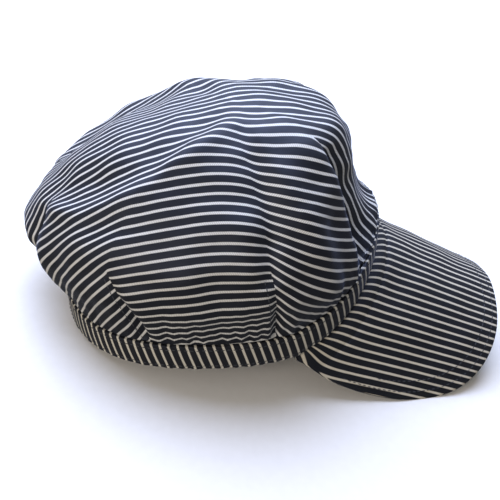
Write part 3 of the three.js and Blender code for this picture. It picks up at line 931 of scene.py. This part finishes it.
def rest_lean():
    """The lean at which the nape and the bill's side edges meet the same floor."""
    edge_forward, edge_side = bill_edge(np.linspace(-1, 1, EDGE_SAMPLES + 1))
    edge = np.stack([edge_forward, edge_side, bill_up(edge_forward, edge_side)], -1)
    low_edge = edge - bill_slope(edge_side) * BILL_WALL
    leans = np.radians(np.linspace(0, STEEPEST, LEAN_STEPS + 1))
    heights = low_edge[:, :1] * np.sin(leans) + low_edge[:, 2:] * np.cos(leans)
    nape = (BAND_ROUND - RIM_BACK) * np.sin(leans)
    return leans[np.argmin(np.abs(heights.min(0) - nape))]


def cad_pose():
    """The lean, and the floor and middle of the cap set by the frame's own headband."""
    lean = rest_lean()
    floor = -(RIM_BACK - BAND_ROUND) * math.sin(lean) + REST_FLAT
    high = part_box("headband")[1]
    nape = -RIM_BACK * math.cos(lean)
    centre = high[1] / MM + nape - (BAND_HEIGHT - BAND_ROUND) * math.sin(lean)
    return lean, floor, centre


LEAN, FLOOR, CENTRE = cad_pose()


def turn_to_row(vectors):
    """Turns directions from the cap's own frame to the row frame."""
    forward, left, up = np.moveaxis(np.asarray(vectors, float), -1, 0)
    ahead = forward * math.cos(LEAN) - up * math.sin(LEAN)
    return np.stack([left, -ahead, forward * math.sin(LEAN) + up * math.cos(LEAN)], -1)


def place_in_row(points):
    """Moves points from the cap's own frame to the row frame, in metres, without flattening."""
    return (turn_to_row(points) + np.array([0, CENTRE, -FLOOR])) * MM


def lay_down(points):
    """Places the cloth, pressed flat where it meets the floor."""
    placed = place_in_row(points)
    placed[:, 2] = np.maximum(placed[:, 2], 0)
    return placed


# Materials

def linear(code):
    """An sRGB hex value as linear red, green, blue and alpha."""
    values = [int(code[i : i + 2], 16) / 255 for i in (1, 3, 5)]
    return [v / 12.92 if v <= 0.04045 else ((v + 0.055) / 1.055) ** 2.4 for v in values] + [1.0]


def add(tree, kind, settings=None, **links):
    """Adds a node. Settings name its properties or inputs; links join outputs, or the first
    output of a node, to its inputs."""
    node = tree.nodes.new(kind)
    for key, value in (settings or {}).items():
        if isinstance(key, str) and hasattr(node, key):
            setattr(node, key, value)
        else:
            node.inputs[key].default_value = value
    for key, source in links.items():
        index = int(key[1:]) if key[0] == "i" and key[1:].isdigit() else key.replace("_", " ")
        tree.links.new(getattr(source, "outputs", [source])[0], node.inputs[index])
    return node


def new_material(name):
    material = bpy.data.materials.new(name)
    material.use_nodes = True
    tree = material.node_tree
    tree.nodes.clear()
    return material, tree


def hickory_drill(name, light, dark):
    """Hickory stripe cotton drill: indigo twill with narrow undyed lines, soft and a little dusty."""
    material, tree = new_material(name)
    cloth = add(tree, "ShaderNodeUVMap", {"uv_map": "cloth"})
    # Yarns: long streaks along the stripe, which also let its lines wander a little
    axes = add(tree, "ShaderNodeSeparateXYZ", Vector=cloth)
    yarns = add(tree, "ShaderNodeMapping", {"Scale": YARN_SCALE}, Vector=cloth)
    noise = {"Scale": 1.0, "Detail": 3.0, "Roughness": 0.6}
    streaks = add(tree, "ShaderNodeTexNoise", noise, Vector=yarns)
    wander = {"operation": "MULTIPLY_ADD", 1: STRIPE_WANDER, 2: -STRIPE_WANDER / 2}
    wobble = add(tree, "ShaderNodeMath", wander, i0=streaks)
    # Light lines: how far each point is from the middle of its line
    across = add(tree, "ShaderNodeMath", {"operation": "ADD"}, i0=axes, i1=wobble)
    repeat = add(tree, "ShaderNodeMath", {"operation": "DIVIDE", 1: STRIPE_PITCH}, i0=across)
    part = add(tree, "ShaderNodeMath", {"operation": "FRACT"}, i0=repeat)
    centred = add(tree, "ShaderNodeMath", {"operation": "SUBTRACT", 1: 0.5}, i0=part)
    away = add(tree, "ShaderNodeMath", {"operation": "ABSOLUTE"}, i0=centred)
    inside, outside = STRIPE_LIGHT / 2 - STRIPE_SOFT, STRIPE_LIGHT / 2 + STRIPE_SOFT
    edge = {
        "interpolation_type": "SMOOTHSTEP",
        "From Min": inside, "From Max": outside, "To Min": 1.0, "To Max": 0.0,
    }
    line = add(tree, "ShaderNodeMapRange", edge, Value=away)
    # Twill: fine slanting ribs that shade the colour and stand up a little
    slanted = add(tree, "ShaderNodeMapping", {"Rotation": (0, 0, TWILL_TURN)}, Vector=cloth)
    ribs = {"Scale": TWILL_SCALE, "Distortion": 0.6, "Detail": 1.0}
    twill = add(tree, "ShaderNodeTexWave", ribs, Vector=slanted).outputs[1]
    dyed = {"data_type": "RGBA", 6: linear(dark[0]), 7: linear(dark[1])}
    yarn = add(tree, "ShaderNodeMix", dyed, i0=streaks).outputs[2]
    undyed = {"data_type": "RGBA", 7: linear(light)}
    striped = add(tree, "ShaderNodeMix", undyed, i0=line, i6=yarn).outputs[2]
    shade = add(tree, "ShaderNodeMapRange", {"To Min": 0.72, "To Max": 1.1}, Value=twill)
    weaving = {"data_type": "RGBA", "blend_type": "MULTIPLY", 0: 1.0}
    woven = add(tree, "ShaderNodeMix", weaving, i6=striped, i7=shade).outputs[2]
    bump = add(tree, "ShaderNodeBump", {"Strength": 0.35, "Distance": 0.00025}, Height=twill)
    rough = add(tree, "ShaderNodeMapRange", {"To Min": 0.62, "To Max": 0.5}, Value=streaks)
    # A cool sheen from the loose fibres gives the dusty look of washed drill
    gloss = {
        "IOR": 1.5, "Specular IOR Level": 0.5, "Specular Tint": linear("#c6d6ff"),
        "Sheen Weight": 0.15, "Sheen Roughness": 0.3, "Sheen Tint": linear("#a9c2ff"),
    }
    shader = add(tree, "ShaderNodeBsdfPrincipled", gloss, Base_Color=woven, Roughness=rough, Normal=bump)
    add(tree, "ShaderNodeOutputMaterial", Surface=shader)
    return material


def cotton_thread():
    """Spun cotton sewing thread, dyed near the indigo so that the rows of stitches stay quiet."""
    material, tree = new_material("cotton_thread")
    place = add(tree, "ShaderNodeTexCoord").outputs["Object"]
    twist = add(tree, "ShaderNodeTexNoise", {"Scale": 2400.0, "Detail": 2.0}, Vector=place)
    plies = {"data_type": "RGBA", 6: linear("#2f333d"), 7: linear("#4a4f5a")}
    colour = add(tree, "ShaderNodeMix", plies, i0=twist).outputs[2]
    bump = add(tree, "ShaderNodeBump", {"Strength": 0.3, "Distance": 0.0001}, Height=twist)
    matt = {"Roughness": 0.7, "IOR": 1.5}
    shader = add(tree, "ShaderNodeBsdfPrincipled", matt, Base_Color=colour, Normal=bump)
    add(tree, "ShaderNodeOutputMaterial", Surface=shader)
    return material


def studio_paper():
    """Matt seamless background paper, nearly white with a faint fibre grain."""
    material, tree = new_material("studio_paper")
    place = add(tree, "ShaderNodeTexCoord").outputs["Object"]
    fibre = add(tree, "ShaderNodeTexNoise", {"Scale": 180.0, "Detail": 4.0}, Vector=place)
    grain = {"data_type": "RGBA", 6: linear("#f3f3f2"), 7: linear("#fafafa")}
    colour = add(tree, "ShaderNodeMix", grain, i0=fibre).outputs[2]
    shader = add(tree, "ShaderNodeBsdfPrincipled", {"Roughness": 0.95}, Base_Color=colour)
    add(tree, "ShaderNodeOutputMaterial", Surface=shader)
    return material


# Studio

def build_floor():
    """Seamless paper that takes the cap's shadow, but doesn't light the cap from below."""
    corners = [(FLOOR_HALF * x, FLOOR_HALF * y, 0) for x, y in ((-1, -1), (1, -1), (1, 1), (-1, 1))]
    mesh = bpy.data.meshes.new("floor")
    mesh.from_pydata(corners, [], [(0, 1, 2, 3)])
    mesh.materials.append(studio_paper())
    floor = linked("floor", mesh)
    floor.visible_diffuse = False
    floor.visible_glossy = False


def add_light(name, place, size, power, colour):
    lamp = bpy.data.lights.new(name, "AREA")
    lamp.shape = "DISK"
    lamp.size = size
    lamp.energy = power
    lamp.color = linear(colour)[:3]
    holder = linked(name, lamp)
    holder.location = place
    holder.rotation_euler = (Vector(LIGHT_AIM) - Vector(place)).to_track_quat("-Z", "Y").to_euler()


def build_lights():
    """A wide cool panel over the far side, and a weaker warm one low down behind the nape."""
    for light in LIGHTS:
        add_light(**light)
    world = bpy.data.worlds.new("studio")
    world.use_nodes = True
    background = world.node_tree.nodes["Background"]
    background.inputs["Color"].default_value = linear(WORLD_COLOUR)
    background.inputs["Strength"].default_value = WORLD_STRENGTH
    scene = bpy.context.scene
    scene.world = world
    scene.view_settings.view_transform = "Standard"


def build_camera():
    """Looks from the wearer's right, where the photo was taken from."""
    turn, roll = CAMERA_TURN, CAMERA_ROLL
    level = math.cos(CAMERA_ELEVATION)
    back = np.array([math.sin(turn) * level, -math.cos(turn) * level, math.sin(CAMERA_ELEVATION)])
    right = np.array([math.cos(turn), math.sin(turn), 0])
    up = np.cross(back, right)
    right, up = right * math.cos(roll) + up * math.sin(roll), up * math.cos(roll) - right * math.sin(roll)
    columns = [turn_to_row(axis) for axis in (right, up, back)]
    place = place_in_row((back * CAMERA_DISTANCE)[None])[0]
    data = bpy.data.cameras.new("camera")
    data.sensor_width = SENSOR_MM
    data.lens = SENSOR_MM * PIXELS_PER_MM * CAMERA_DISTANCE / PHOTO_PIXELS
    data.shift_x = (PHOTO_PIXELS / 2 - TARGET_PIXEL[0]) / PHOTO_PIXELS
    data.shift_y = (TARGET_PIXEL[1] - PHOTO_PIXELS / 2) / PHOTO_PIXELS
    camera = linked("camera", data)
    axes = Matrix(np.array(columns).T.tolist()).to_4x4()
    camera.matrix_world = Matrix.Translation(place.tolist()) @ axes
    bpy.context.scene.camera = camera


def main():
    build_camera()
    build_lights()
    build_floor()
    crown_drill = hickory_drill("crown_hickory_drill", "#dfe0e0", ("#0e0e0f", "#1b1b1d"))
    # Painted warm light: the band's and the bill's copies of the drill are given warmer colours than the
    # crown's, standing in for the warm light that falls on the cap's lower, nearer parts
    band_drill = hickory_drill("band_hickory_drill", "#dddacf", ("#0f0e0d", "#1c1b1a"))
    bill_drill = hickory_drill("bill_hickory_drill", "#dbd5c6", ("#0d0c0a", "#191816"))
    crown, crown_rows = build_crown(crown_drill)
    band, band_rows = build_band(band_drill)
    bill, bill_rows = build_bill(bill_drill)
    tree = thread_tree(cotton_thread())
    for piece, rows, node, slot in (
        (crown, crown_rows, "crown", "crown_cloth"),
        (band, band_rows, "headband", "band_cloth"),
        (bill, bill_rows, "bill", "bill_cloth"),
    ):
        stitches = build_stitches(node + "_topstitching", rows, tree)
        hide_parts(node)
        for part in (piece, stitches):
            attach(part, "root")


main()
